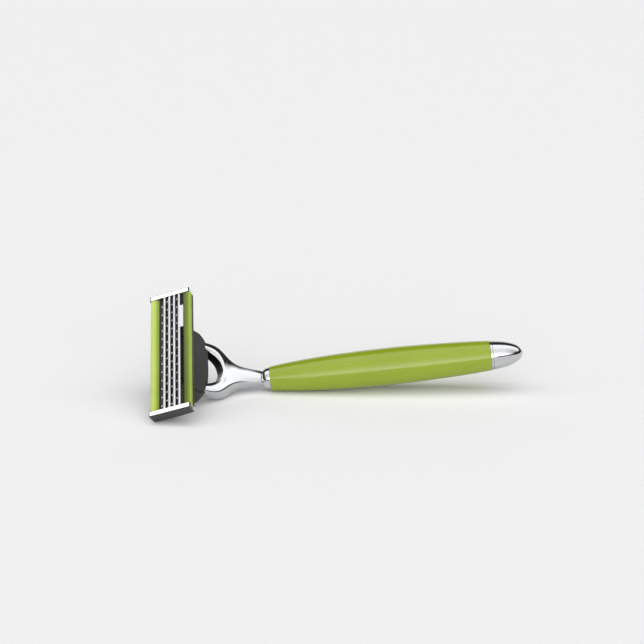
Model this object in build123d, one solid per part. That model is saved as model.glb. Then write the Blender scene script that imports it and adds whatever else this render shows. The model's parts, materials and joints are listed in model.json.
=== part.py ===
from build123d import *
import math
import os

# Cartridge razor lying on a table: it leans on one end of its blade cartridge and on the belly of its
# round handle. All lengths are millimetres.
#
# Three working frames are used, and every finished piece is laid down with one resting turn at the end:
#   cartridge frame  X from the cap edge to the guard edge, Y along the blades, Z out of the shaving face
#   connector frame  X from the head towards the handle, Y along the blades, Z out of the top cover
#   handle frame     X along the handle from head to tail, Y along the blades, Z towards the shaving face

# ---- driving dimensions -------------------------------------------------------------------------
FACE_TILT = 15.2        # angle of the shaving face to the handle axis, degrees
NECK_TILT = 39.8        # angle of the connector to the handle axis, degrees
NECK_X = 1.32           # where the connector frame starts, handle frame
NECK_Z = -2.96
AXIS_Z = -21.0          # handle axis below the middle of the shaving face
REST_ROLL = 37.8        # turn about the handle axis while it lies on the table, degrees
REST_RISE = 6.06        # how far the tail end is tipped up, degrees

HALF_LEN = 21.5         # half the cartridge length
CAP_W = -6.55           # outer wall on the cap side
GUARD_W = 6.65          # outer wall on the guard side
FACE_N = 0.15           # front of the end clips
CLIP_T = 0.25           # clip sheet thickness
CLIP_Y = 19.85          # inner edge of each clip
STRIP_END = 19.75       # ends of the lubricating strip and the guard
END_FIT = 0.03          # clearance at the ends of the strip and the guard
SKIRT_N = -2.2          # the guard wraps down the outer wall to here
SKIRT_T = 0.45

BLADES = 4
BLADE_PITCH = 1.61
FIRST_EDGE_W = -1.33    # cutting edge of the first blade
EDGE_N = -0.14          # height of the cutting edges
BLADE_TILT = 20.0
BLADE_WIDE = 1.48
BLADE_THICK = 0.12
BEVEL_LEN = 0.7
BLADE_HALF = 20.3
SUPPORT_HALF = 19.9
SUPPORT_T = 0.2
SUPPORT_FRONT_S = -0.75  # front of each support, measured back from the cutting edge
LEG_FOOT_N = -2.5
BLADE_TRAVEL = 0.3
SUPPORT_ROOM_N = LEG_FOOT_N - BLADE_TRAVEL - 0.1    # the supports sink no lower than this
SLAT_WIDE = 0.9         # bars along the open back, under the blade supports
WELDS = 13
WELD_PITCH = 2.95
WELD_R = 0.15
WELD_S = -1.08           # weld row, measured back from the cutting edge

PIVOT_W = 2.4           # pivot axis in the cartridge frame
PIVOT_N = -5.0
BACK_N = -3.55          # back of the cartridge frame
PIN_D = 1.5
PIN_FIT = 0.05          # radial running clearance in the ears
EAR_Y = 6.6             # inner face of each pivot ear
EAR_T = 1.8
EAR_R = 1.25
SIDE_GAP = 0.3

COVER_T = 1.0
COVER_V = 3.5           # top of the cover at the start of the connector frame
COVER_SLOPE = 0.33
COVER_HALF = 10.3
BOW_POWER = 0.62        # squareness of the rear corners in the top view
BASE_HALF = 12.2
FRONT_U = 1.3           # front of the connector below the pivot
ARM_U = 10.4            # where the fork arms meet the connector

PLUNGER_V = -2.6
PLUNGER_R = 1.5
PLUNGER_CENTRE_U = 0.81
PLUNGER_STROKE = 2.11
PLUNGER_BORE_R = 1.58
PLUNGER_SHOULDER = 4.2
PLUNGER_TAIL = 5.8
PLUNGER_BORE_END = PLUNGER_TAIL + PLUNGER_STROKE + 0.39

BUTTON_TRAVEL = 2.0
BUTTON_U = 5.4          # front of the button's flange, before it is pushed
BUTTON_SPRING_Y = 3.0
BUTTON_SPRING_V = -3.95

FERRULE_X = 25.5        # the ferrule starts here and ends against the barrel
BARREL_X0 = 27.7
BARREL_X1 = 95.3
RING_X1 = 95.95
TIP_X = 105.3
TANG_R = 2.2
TANG_SHOULDER = 40.0    # the tang steps down to its threaded end here
THREAD_R = 1.6
TANG_END = 44.2
NUT_AF = 5.0
BARREL_BORE_R = 3.0
BARREL_WALL = 1.2

# outline of the handle: distance along the axis and radius
BARREL_OUTLINE = [
    (27.7, 3.75), (29.6, 4.0), (36.7, 4.73), (45.9, 5.34), (55.2, 5.64), (62.9, 5.75),
    (73.7, 5.63), (82.9, 5.31), (90.0, 4.97), (95.3, 4.58),
]
# half width of the chrome fork, seen from the face side, against the distance along the handle
FORK_OUTLINE = [
    (25.6, 2.3), (23.2, 2.5), (20.5, 2.85), (18.2, 3.4), (16.6, 4.4), (15.0, 6.1), (13.6, 7.6),
    (12.2, 8.5), (10.6, 8.9), (9.0, 9.0), (4.0, 9.0),
]
EYE_OUTLINE = [(13.9, 0.0), (13.5, 1.9), (12.7, 3.5), (11.7, 4.6), (10.5, 5.4), (9.2, 5.95), (7.0, 6.4),
               (4.0, 6.5)]
FORK_TOP = [
    (25.6, -19.3), (24.0, -18.55), (21.7, -17.65), (19.9, -16.9), (18.2, -16.05), (16.5, -15.1),
    (14.8, -13.95), (12.6, -12.45), (10.4, -11.0), (7.0, -8.35),
]
FORK_BOTTOM = [
    (3.8, -10.9), (7.6, -13.9), (9.6, -15.3), (12.6, -17.3), (15.0, -19.0), (18.0, -20.7),
    (21.0, -21.75), (25.6, -22.4),
]

CART = Location((0, 0, 0), (0, -FACE_TILT, 0))
CONN = Location((NECK_X, 0, NECK_Z), (0, NECK_TILT, 0))
GRIP = Location((0, 0, AXIS_Z))


def to_connector(w, n):
    """A point of the cartridge frame, written in the connector frame."""
    a = math.radians(FACE_TILT)
    b = math.radians(NECK_TILT)
    x = w * math.cos(a) - n * math.sin(a) - NECK_X
    z = w * math.sin(a) + n * math.cos(a) - NECK_Z
    return (x * math.cos(b) - z * math.sin(b), x * math.sin(b) + z * math.cos(b))


PIVOT_U, PIVOT_V = to_connector(PIVOT_W, PIVOT_N)


def box(x0, x1, y0, y1, z0, z1):
    size = (x1 - x0, y1 - y0, z1 - z0)
    mid = ((x0 + x1) / 2, (y0 + y1) / 2, (z0 + z1) / 2)
    return Pos(*mid) * Box(*size)


def prism(points, y0, y1):
    """A closed outline in X and Z, carried along Y from y0 to y1."""
    edges = Polyline(*[(x, y0, z) for x, z in points], close=True)
    return extrude(make_face(edges), amount=y1 - y0, dir=(0, 1, 0))


def rod(x0, x1, r, y=0.0, z=0.0):
    """A round bar along X."""
    return Pos((x0 + x1) / 2, y, z) * Rot(0, 90, 0) * Cylinder(r, x1 - x0)


def pin(y0, y1, r, x, z):
    """A round bar along Y."""
    return Pos(x, (y0 + y1) / 2, z) * Rot(90, 0, 0) * Cylinder(r, y1 - y0)


def coil(x0, x1, r, wire_r, turns, y, z):
    """A helical spring along X."""
    path = Helix(pitch=(x1 - x0 - 2 * wire_r) / turns, height=x1 - x0 - 2 * wire_r, radius=r)
    start = Plane(origin=path @ 0, z_dir=path % 0)
    wire = sweep(start * Circle(wire_r), path=path)
    return Pos(x0 + wire_r, y, z) * Rot(0, 90, 0) * wire


# ---- cartridge ------------------------------------------------------------------------------------
def frame_outline(inset):
    i = inset
    return [
        (CAP_W + i, FACE_N - i - 0.25), (CAP_W + i + 0.25, FACE_N - i), (GUARD_W - i - 0.25, FACE_N - i),
        (GUARD_W - i, FACE_N - i - 0.25), (GUARD_W - i, -2.95 + i), (GUARD_W - i - 0.4, -3.3 + i),
        (1.5, BACK_N + i), (-1.5, BACK_N + i), (CAP_W + i + 0.5, -3.36 + i), (CAP_W + i + 0.1, -2.95 + i),
    ]


def edge_w(k):
    return FIRST_EDGE_W + BLADE_PITCH * k


def cartridge_frame():
    body = prism(frame_outline(0.0), -CLIP_Y, CLIP_Y)
    body += prism(frame_outline(CLIP_T), -HALF_LEN, HALF_LEN)
    body -= box(CAP_W - 1, -3.3, -STRIP_END - END_FIT, STRIP_END + END_FIT, -1.3, 2)
    body -= box(4.15, GUARD_W + 1, -STRIP_END - END_FIT, STRIP_END + END_FIT, -1.4, 2)
    body -= box(GUARD_W - SKIRT_T - END_FIT, GUARD_W + 1, -STRIP_END - END_FIT, STRIP_END + END_FIT,
                SKIRT_N - END_FIT, 2)
    body -= box(-3.3, 4.15, -20.5, 20.5, -1.25, 2)
    body -= box(-3.0, 4.05, -18.2, 18.2, -5, 1)
    body -= box(2.3, 4.05, -19.3, -18.2, -5, 1)
    for k in range(BLADES):
        rear = edge_w(k) - BLADE_WIDE
        body -= box(rear - 0.12, rear + 0.42, -20.1, 20.1, SUPPORT_ROOM_N, 0)
    for side in (-1, 1):
        low, high = sorted((side * 6.35, side * 8.65))
        body += box(-3.2, 4.3, low, high, BACK_N, LEG_FOOT_N - 0.38)
        ear = pin(min(side * EAR_Y, side * (EAR_Y + EAR_T)), max(side * EAR_Y, side * (EAR_Y + EAR_T)),
                  EAR_R, PIVOT_W, PIVOT_N)
        web = box(PIVOT_W - EAR_R, PIVOT_W + EAR_R, min(side * EAR_Y, side * (EAR_Y + EAR_T)),
                  max(side * EAR_Y, side * (EAR_Y + EAR_T)), PIVOT_N, BACK_N + 0.3)
        body += ear + web
    for k in range(BLADES - 1):
        rear = edge_w(k) - BLADE_WIDE
        body += box(rear - 0.15, rear + SLAT_WIDE, -18.4, 18.4, BACK_N + 0.1, SUPPORT_ROOM_N)
    body -= pin(-12, 12, PIN_D / 2 + PIN_FIT, PIVOT_W, PIVOT_N)
    return CART * body


def guard_bar():
    outline = [
        (4.2, -1.37), (4.2, -0.55), (4.42, -0.22), (4.75, -0.1), (6.0, -0.02), (6.35, -0.08),
        (6.6, -0.28), (6.74, -0.6), (6.82, -1.3), (6.68, SKIRT_N), (GUARD_W - SKIRT_T, SKIRT_N),
        (GUARD_W - SKIRT_T, -1.37),
    ]
    return CART * prism(outline, -STRIP_END, STRIP_END)


def lubricating_strip():
    crown = Spline((-6.55, 0, -0.5), (-6.1, 0, -0.05), (-5.3, 0, 0.13), (-4.4, 0, 0.02), (-3.62, 0, -0.34))
    rest = Polyline(crown @ 1, (-3.34, 0, -0.7), (-3.34, 0, -1.28), (-6.5, 0, -1.28), crown @ 0)
    body = extrude(make_face([crown, rest]), amount=STRIP_END, dir=(0, 1, 0), both=True)
    return CART * body


def end_clip(side):
    y0, y1 = sorted((side * CLIP_Y, side * (HALF_LEN - 0.08)))
    band = prism(frame_outline(0.0), y0, y1) - prism(frame_outline(CLIP_T), y0 - 1, y1 + 1)
    band -= box(-4.9, 4.9, y0 - 1, y1 + 1, -6, -2)
    return CART * band


def blade_section(k):
    """Corner points of one blade strip and of the bent carrier that holds it."""
    a = math.radians(BLADE_TILT)

    def at(s, h):
        return (edge_w(k) + s * math.cos(a) - h * math.sin(a), EDGE_N + s * math.sin(a) + h * math.cos(a))

    t = BLADE_THICK / 2
    strip = [at(0, 0), at(-BEVEL_LEN, t), at(-BLADE_WIDE, t), at(-BLADE_WIDE, -t), at(-BEVEL_LEN, -t)]
    low = -t - SUPPORT_T
    front = SUPPORT_FRONT_S
    rear_x = at(-BLADE_WIDE, -t)[0]
    carrier = [
        at(front, -t), at(-BLADE_WIDE, -t), (rear_x, LEG_FOOT_N), (rear_x + SUPPORT_T, LEG_FOOT_N),
        (rear_x + SUPPORT_T, at(-BLADE_WIDE + 0.3, low)[1]), at(-BLADE_WIDE + 0.35, low), at(front, low),
    ]
    return strip, carrier, at


def blade(k):
    strip, _, at = blade_section(k)
    body = prism(strip, -BLADE_HALF, BLADE_HALF)
    x, z = at(WELD_S, BLADE_THICK / 2)
    stagger = (k % 2) * 0.5 * WELD_PITCH
    for i in range(WELDS):
        y = (i - (WELDS - 1) / 2) * WELD_PITCH + stagger - 0.25 * WELD_PITCH
        body += Pos(x, y, z) * Rot(0, -BLADE_TILT, 0) * Cylinder(WELD_R, 0.08)
    return CART * body


def blade_carrier(k):
    _, carrier, _ = blade_section(k)
    return CART * prism(carrier, -SUPPORT_HALF, SUPPORT_HALF)


# ---- connector ------------------------------------------------------------------------------------
def cover_top(u):
    return COVER_V - COVER_SLOPE * u


def plan_outline(half, rear):
    """Top view of the connector: straight sides and a bowed, round-cornered rear edge."""
    bow = []
    for i in range(-6, 7):
        t = math.radians(15 * i)
        across = math.copysign(abs(math.sin(t)) ** BOW_POWER, t)
        bow.append((6.0 + (rear - 6.0) * abs(math.cos(t)) ** BOW_POWER, half * across))
    tail = Spline(*bow, tangents=[(1, 0), (-1, 0)])
    sides = Polyline(tail @ 1, (-4, half), (-4, -half), tail @ 0)
    return make_face([tail, sides])


def front_cut():
    """Everything the pivoting cartridge needs free, in front of the connector."""
    a = math.radians(FACE_TILT + NECK_TILT)
    u0, v0 = to_connector(PIVOT_W, BACK_N - 0.2)
    knee = v0 + (FRONT_U - u0) * math.tan(a)
    far = (FRONT_U + 20 * math.cos(a), knee + 20 * math.sin(a))
    return prism([(FRONT_U, -30), (FRONT_U, knee), far, (-30, 30), (-30, -30)], -30, 30)


def ear_slots():
    cut = None
    for side in (-1, 1):
        y0, y1 = sorted((side * (EAR_Y - SIDE_GAP), side * (EAR_Y + EAR_T + SIDE_GAP)))
        slot = box(-2, PIVOT_U + EAR_R + 0.3, y0, y1, PIVOT_V - EAR_R - 0.35, 6)
        cut = slot if cut is None else cut + slot
    return cut


def arm_notch(side):
    """The seat that the end of a fork arm fills, at the rear of the connector."""
    low, high = sorted((side * 5.9, side * 8.8))
    return box(ARM_U - 0.05, 16, low, high, -8, 2)


def connector_base():
    foot = Pos(0, 0, -6.0) * plan_outline(BASE_HALF, 12.6)
    head = Pos(0, 0, 3.0) * plan_outline(COVER_HALF - 0.35, 11.7)
    body = loft([foot, head], ruled=True)
    side_view = [
        (-3, -5.4), (1.3, -5.6), (4.8, -5.8), (8.0, -5.3), (9.9, -4.1), (11.2, -2.3), (11.7, -1.4),
        (-3, cover_top(-3) - COVER_T - 0.02),
    ]
    body &= prism(side_view, -20, 20)
    body -= front_cut()
    body -= ear_slots()
    body -= pin(-9.7, 9.7, PIN_D / 2, PIVOT_U, PIVOT_V)
    body -= rod(-2, PLUNGER_BORE_END, PLUNGER_BORE_R, 0, PLUNGER_V)
    body -= box(2.9, 9.3, -2.6, 2.6, -7, -4.6)
    body -= box(BUTTON_U - BUTTON_TRAVEL - 0.1, 9.2, -4.0, 4.0, -5.0, -4.3)
    for side in (-1, 1):
        body -= rod(1.9, 6.4, 1.0, side * BUTTON_SPRING_Y, -4.0)
        body -= rod(5.0, 9.0, 0.7, side * BUTTON_SPRING_Y, -4.0)
        body -= box(3.2, 6.4, min(side * 2.2, side * 3.8), max(side * 2.2, side * 3.8), -5.0, -3.1)
        low, high = sorted((side * 6.55, side * 8.45))
        body -= box(6.9, 14, low, high, -4.55, -1.25)
        body -= arm_notch(side)
        body -= Pos(8.0, side * 3.4, -0.9) * Cylinder(0.65, 3)
    return CONN * body


def connector_cover():
    slope = math.degrees(math.atan(COVER_SLOPE))
    rim = Pos(0, 0, -0.35) * plan_outline(COVER_HALF, 12.5)
    crown = plan_outline(COVER_HALF - 0.35, 12.15)
    plate = loft([rim, crown], ruled=True)
    plate += extrude(rim, amount=0.35 - COVER_T * math.cos(math.radians(slope)))
    body = Location((0, 0, COVER_V), (0, slope, 0)) * plate
    body -= front_cut()
    body -= ear_slots()
    for side in (-1, 1):
        body += Pos(8.0, side * 3.4, -0.3) * Cylinder(0.6, 1.5)
        body -= arm_notch(side)
    return CONN * body


def pivot_pin(side):
    y0, y1 = sorted((side * 5.5, side * 9.6))
    return CONN * pin(y0, y1, PIN_D / 2, PIVOT_U, PIVOT_V)


def return_plunger():
    body = rod(PLUNGER_CENTRE_U, PLUNGER_SHOULDER, PLUNGER_R, 0, PLUNGER_V)
    body += Pos(PLUNGER_CENTRE_U, 0, PLUNGER_V) * Sphere(PLUNGER_R)
    body += rod(PLUNGER_SHOULDER, PLUNGER_TAIL, 0.7, 0, PLUNGER_V)
    return CONN * body


def plunger_spring():
    return CONN * coil(PLUNGER_SHOULDER + 0.05, PLUNGER_BORE_END - 0.05, 1.15, 0.16, 5, 0, PLUNGER_V)


def release_button():
    body = box(BUTTON_U, 9.1, -3.9, 3.9, -4.95, -4.4)
    body += box(5.6, 8.9, -2.5, 2.5, -6.0, -4.6)
    body += fillet(box(5.0, 9.6, -3.6, 3.6, -6.95, -5.9).edges().filter_by(Axis.Z), 1.0)
    for i in range(4):
        body += box(5.7 + i * 0.95, 6.1 + i * 0.95, -2.8, 2.8, -7.2, -6.9)
    for side in (-1, 1):
        low, high = sorted((side * 2.4, side * 3.6))
        body += box(BUTTON_U, 6.1, low, high, -4.6, -3.25)
        body += rod(4.3, BUTTON_U + 0.1, 0.35, side * BUTTON_SPRING_Y, BUTTON_SPRING_V)
    return CONN * body


def button_spring(side):
    return CONN * coil(1.95, BUTTON_U - 0.02, 0.7, 0.13, 5, side * BUTTON_SPRING_Y, BUTTON_SPRING_V)


# ---- handle ---------------------------------------------------------------------------------------
def fork_neck():
    sides = Spline(*[(x, y) for x, y in FORK_OUTLINE])
    other = Spline(*[(x, -y) for x, y in FORK_OUTLINE])
    plan = make_face([sides, other, Line(sides @ 0, other @ 0), Line(sides @ 1, other @ 1)])
    half_eye = Spline(*[(x, y) for x, y in EYE_OUTLINE], tangents=[(0, 1), (-1, 0.1)])
    other_eye = mirror(half_eye, about=Plane.XZ)
    eye = make_face([half_eye, other_eye, Line(half_eye @ 1, other_eye @ 1)])
    body = extrude(Pos(0, 0, -40) * (plan - eye), amount=40)
    top = Spline(*[(x, -20, z) for x, z in FORK_TOP])
    bottom = Spline(*[(x, -20, z) for x, z in FORK_BOTTOM])
    ends = [Line(top @ 1, bottom @ 0), Line(bottom @ 1, top @ 0)]
    side = extrude(make_face([top, bottom] + ends), amount=40, dir=(0, 1, 0))
    body &= side
    body -= CONN * box(-20, ARM_U, -20, 20, -30, 30)
    long_edges = [e for e in body.edges() if e.length > 6 and e.bounding_box().size.X > 4]
    body = fillet(long_edges, 0.55)
    body -= box(FERRULE_X - 0.02, 30, -5, 5, -30, -10)
    for s in (-1, 1):
        low, high = sorted((s * 6.6, s * 8.4))
        body += CONN * box(7.0, ARM_U + 0.4, low, high, -4.5, -1.3)
    body += GRIP * rod(25.3, TANG_SHOULDER, TANG_R)
    body += GRIP * rod(TANG_SHOULDER, TANG_END, THREAD_R)
    return body


def ferrule():
    nose = Spline((FERRULE_X, 2.95), (26.2, 3.3), (27.0, 3.52), (BARREL_X0 - 0.02, 3.6))
    rest = Polyline(nose @ 1, (BARREL_X0 - 0.02, TANG_R), (FERRULE_X, TANG_R), nose @ 0)
    flat = make_face([nose, rest])
    return GRIP * revolve(flat, Axis.X)


def barrel():
    skin = Spline(*BARREL_OUTLINE)
    rest = Polyline(skin @ 1, (BARREL_X1, BARREL_BORE_R), (BARREL_X0, BARREL_BORE_R), skin @ 0)
    body = revolve(make_face([skin, rest]), Axis.X)
    inner = [(x, r - BARREL_WALL) for x, r in BARREL_OUTLINE[3:-2]]
    hollow = Spline(*inner)
    base = Polyline(hollow @ 1, (inner[-1][0] + 1.5, 0), (inner[0][0] - 1.5, 0), hollow @ 0)
    body -= revolve(make_face([hollow, base]), Axis.X)
    return GRIP * body


def front_bushing():
    return GRIP * (rod(BARREL_X0 + 0.02, TANG_SHOULDER - 0.2, BARREL_BORE_R) - rod(20, 60, TANG_R))


def tang_washer():
    return GRIP * (rod(TANG_SHOULDER + 0.02, TANG_SHOULDER + 0.62, 2.85) - rod(20, 60, THREAD_R))


def tang_nut():
    start = TANG_SHOULDER + 0.65
    flats = RegularPolygon(NUT_AF / 2, 6, major_radius=False) - Circle(THREAD_R)
    body = extrude(flats, amount=2.6)
    return GRIP * Pos(start, 0, 0) * Rot(0, 90, 0) * body


def rear_bushing():
    return GRIP * (rod(86.5, 95.25, BARREL_BORE_R) - rod(88.0, 96, 1.9))


def trim_ring():
    return GRIP * (rod(BARREL_X1 + 0.02, RING_X1, 4.5) - rod(90, 99, 2.4))


def end_cap():
    dome = Spline((RING_X1 + 0.03, 4.46), (98.0, 4.22), (100.4, 3.75), (102.6, 3.0), (104.3, 1.85),
                  (TIP_X, 0), tangents=[(1, -0.09), (0, -1)])
    rest = Polyline(dome @ 1, (RING_X1 + 0.03, 0), dome @ 0)
    body = revolve(make_face([dome, rest]), Axis.X)
    cup = Spline((RING_X1 - 0.5, 3.75), (99.0, 3.4), (101.6, 2.6), (103.2, 1.5), (104.0, 0),
                 tangents=[(1, -0.09), (0, -1)])
    floor = Polyline(cup @ 1, (RING_X1 - 0.5, 0), cup @ 0)
    body -= revolve(make_face([cup, floor]), Axis.X)
    return GRIP * body


def cap_plug():
    cup = Spline((RING_X1 + 0.05, 3.7), (99.0, 3.36), (100.4, 2.95), tangents=[(1, -0.09), (1, -0.35)])
    rest = Polyline(cup @ 1, (100.4, 0), (RING_X1 + 0.05, 0), cup @ 0)
    body = revolve(make_face([cup, rest]), Axis.X)
    body += rod(88.3, 96.3, 1.85)
    return GRIP * (body - rod(92, 101, 1.1))


# ---- assembly -------------------------------------------------------------------------------------
def all_parts():
    made = {
        "cartridge_frame": cartridge_frame(),
        "guard_bar": guard_bar(),
        "lubricating_strip": lubricating_strip(),
        "end_clip_upper": end_clip(1),
        "end_clip_lower": end_clip(-1),
    }
    for k in range(BLADES):
        made["blade_%d" % (k + 1)] = blade(k)
        made["blade_carrier_%d" % (k + 1)] = blade_carrier(k)
    made.update({
        "connector_base": connector_base(),
        "connector_cover": connector_cover(),
        "pivot_pin_upper": pivot_pin(1),
        "pivot_pin_lower": pivot_pin(-1),
        "return_plunger": return_plunger(),
        "plunger_spring": plunger_spring(),
        "release_button": release_button(),
        "button_spring_upper": button_spring(1),
        "button_spring_lower": button_spring(-1),
        "fork_neck": fork_neck(),
        "ferrule": ferrule(),
        "barrel": barrel(),
        "front_bushing": front_bushing(),
        "tang_washer": tang_washer(),
        "tang_nut": tang_nut(),
        "rear_bushing": rear_bushing(),
        "trim_ring": trim_ring(),
        "end_cap": end_cap(),
        "cap_plug": cap_plug(),
    })
    return made


def resting(parts):
    """Lay the razor down and put the bottom centre of its box on the origin."""
    turn = Location((0, 0, 0), (0, -REST_RISE, 0)) * Location((0, 0, 0), (REST_ROLL, 0, 0))
    turned = {name: turn * shape for name, shape in parts.items()}
    boxes = [shape.bounding_box() for shape in turned.values()]
    low = [min(getattr(b.min, c) for b in boxes) for c in "XYZ"]
    high = [max(getattr(b.max, c) for b in boxes) for c in "XYZ"]
    shift = Location((-(low[0] + high[0]) / 2, -(low[1] + high[1]) / 2, -low[2]))
    return {name: shift * shape for name, shape in turned.items()}, shift * turn


os.makedirs("parts", exist_ok=True)
PARTS, REST = resting(all_parts())
for NAME, SHAPE in PARTS.items():
    export_step(SHAPE, "parts/%s.step" % NAME)
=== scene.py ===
"""Looks of a cartridge razor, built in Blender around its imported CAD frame.

The razor lies on a table, so its own directions are read from its joints:
  L  along the blades, the way the upper end points
  N  straight out of the shaving face
  W  across the cartridge, from the cap edge to the guard edge
Sizes are millimetres in the same three working frames as the CAD source: the cartridge, the connector
behind it, and the handle. A place matrix turns each into metres in the shared frame.
"""

import json
import math

import bmesh
import bpy
import numpy as np
from mathutils import Matrix, Vector


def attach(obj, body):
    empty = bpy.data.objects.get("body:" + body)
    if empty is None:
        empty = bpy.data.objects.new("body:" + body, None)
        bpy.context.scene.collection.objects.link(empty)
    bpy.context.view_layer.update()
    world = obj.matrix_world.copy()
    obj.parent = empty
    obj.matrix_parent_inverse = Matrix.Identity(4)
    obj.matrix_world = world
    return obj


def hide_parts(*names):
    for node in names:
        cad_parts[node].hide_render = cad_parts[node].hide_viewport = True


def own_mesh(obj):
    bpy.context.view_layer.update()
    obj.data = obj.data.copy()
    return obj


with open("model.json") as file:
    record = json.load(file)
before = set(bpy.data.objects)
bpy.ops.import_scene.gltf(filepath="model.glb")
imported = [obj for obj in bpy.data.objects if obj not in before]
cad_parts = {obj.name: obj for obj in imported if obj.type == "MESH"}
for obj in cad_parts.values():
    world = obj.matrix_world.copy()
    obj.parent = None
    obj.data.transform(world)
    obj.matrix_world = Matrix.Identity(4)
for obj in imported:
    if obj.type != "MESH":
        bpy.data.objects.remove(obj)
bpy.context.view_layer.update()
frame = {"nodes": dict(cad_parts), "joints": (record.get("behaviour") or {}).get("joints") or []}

# ---- driving dimensions, mm and degrees -----------------------------------------------------------
MM = 0.001
FACE_TILT = 15.2
PIVOT_W = 2.4
PIVOT_N = -5.0
NECK_X = 1.32
NECK_Z = -2.96
AXIS_Z = -21.0

HALF_LEN = 21.5
CLIP_Y = 19.85
CLIP_GAP = 0.08           # the sheet stops this far inside the end of the CAD clip
CLIP_T = 0.25
CLIP_FOLD = 0.24
STRIP_END = 19.74
BLADES = 4
BLADE_PITCH = 1.61
FIRST_EDGE_W = -1.33
EDGE_N = -0.14
BLADE_TILT = 20.0
BLADE_WIDE = 1.48
BLADE_THICK = 0.12
BEVEL_LEN = 0.72
BLADE_HALF = 20.28
BLADE_STEPS = 40
WELDS = 13
WELD_PITCH = 2.95
WELD_R = 0.25
WELD_HEIGHT = 0.075
WELD_PLACE = -1.3

BARREL_OUTLINE = [
    (27.7, 3.75), (29.6, 4.0), (36.7, 4.73), (45.9, 5.34), (55.2, 5.64), (62.9, 5.75),
    (73.7, 5.63), (82.9, 5.31), (90.0, 4.97), (95.3, 4.58),
]
FORK_OUTLINE = [
    (25.6, 2.3), (23.2, 2.5), (20.5, 2.85), (18.2, 3.4), (16.6, 4.4), (15.0, 6.1), (13.6, 7.6),
    (12.2, 8.5), (10.6, 8.9), (9.0, 9.0), (6.0, 9.0),
]
EYE_OUTLINE = [
    (13.9, 0.0), (13.5, 1.9), (12.7, 3.5), (11.7, 4.6), (10.5, 5.4), (9.2, 5.95), (7.0, 6.4), (6.0, 6.45),
]
EYE_FLOOR = [
    (11.9, 0.0), (11.55, 1.9), (10.9, 3.4), (10.1, 4.4), (9.3, 5.1), (8.3, 5.65), (7.0, 6.1), (6.0, 6.2),
]
FORK_TOP = [
    (25.6, -19.3), (24.0, -18.55), (21.7, -17.65), (19.9, -16.9), (18.2, -16.05), (16.5, -15.1),
    (14.8, -13.95), (12.6, -12.45), (10.4, -11.0), (7.0, -8.35), (5.5, -7.15),
]
FORK_BOTTOM = [
    (25.6, -22.4), (21.0, -21.75), (18.0, -20.7), (15.0, -19.0), (12.6, -17.3), (9.6, -15.3),
    (7.6, -13.9), (3.8, -10.9),
]
FORK_ROUND = 0.8
EYE_ROUND = 0.55
STEM_END_X = 15.6          # the stem's even rows end here and the arms' begin
CROWN = 0.2                # how far the top face falls from its middle to its edge
CROWN_BLEND = 20           # rows over which the stem's crown turns into the arms'
STEM_ROWS = 46
ARM_ROWS = 70
ACROSS = 12
EDGE_STEPS = 8
WALL_STEPS = 8
ARM_U = 10.4               # where the arms meet the connector
EYE_CENTRE_X = 8.0
EYE_HALF = 6.7
RECESS_TURN = 0.78         # faces of the eye that look up more than this keep the bright plate
TANG_R = 2.2
THREAD_R = 1.6
TANG = [(25.3, 0.0), (25.3, TANG_R), (40.0, TANG_R), (40.0, THREAD_R), (44.2, THREAD_R), (44.2, 0.0)]
TONGUE_U = 8.85
TONGUE_V = -2.9
TONGUE_LONG = 3.6
TONGUE_TALL = 3.1
TONGUE_Y = (6.65, 8.35)
BORE = 3.0
FERRULE_OUTLINE = [(25.52, 2.94), (26.2, 3.3), (27.0, 3.52), (27.66, 3.6)]
CAP_OUTLINE = [(96.0, 4.45), (98.0, 4.21), (100.4, 3.74), (102.6, 2.98), (104.3, 1.83), (105.28, 0.0)]
CUP_OUTLINE = [(104.0, 0.0), (103.2, 1.5), (101.6, 2.6), (99.0, 3.4), (95.98, 3.75)]

# ---- the razor's own directions -------------------------------------------------------------------
JOINTS = {joint["name"]: joint for joint in frame["joints"]}
PIVOT = Vector(JOINTS["cartridge_pivot"]["pos_m"])
L = -Vector(JOINTS["cartridge_pivot"]["axis"]).normalized()
N = Vector(JOINTS["blade_1_float"]["axis"]).normalized()
W = L.cross(N)
U = Vector(JOINTS["plunger_slide"]["axis"]).normalized()
TILT = math.radians(FACE_TILT)
ALONG = W * math.cos(TILT) - N * math.sin(TILT)
ABOVE = W * math.sin(TILT) + N * math.cos(TILT)


def place_matrix(origin, x_axis, y_axis, z_axis):
    """Turns millimetres in a working frame into metres in the shared frame."""
    columns = [axis * MM for axis in (x_axis, y_axis, z_axis)] + [origin]
    return Matrix([[column[row] for column in columns] for row in range(3)] + [[0, 0, 0, 1]])


FACE_ORIGIN = PIVOT - (W * PIVOT_W + N * PIVOT_N) * MM
CART = place_matrix(FACE_ORIGIN, W, L, N)
CONN = place_matrix(FACE_ORIGIN + (ALONG * NECK_X + ABOVE * NECK_Z) * MM, U, L, U.cross(L))
BODY = place_matrix(FACE_ORIGIN, ALONG, L, ABOVE)
GRIP = place_matrix(FACE_ORIGIN + ABOVE * AXIS_Z * MM, ALONG, L, ABOVE)


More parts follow.
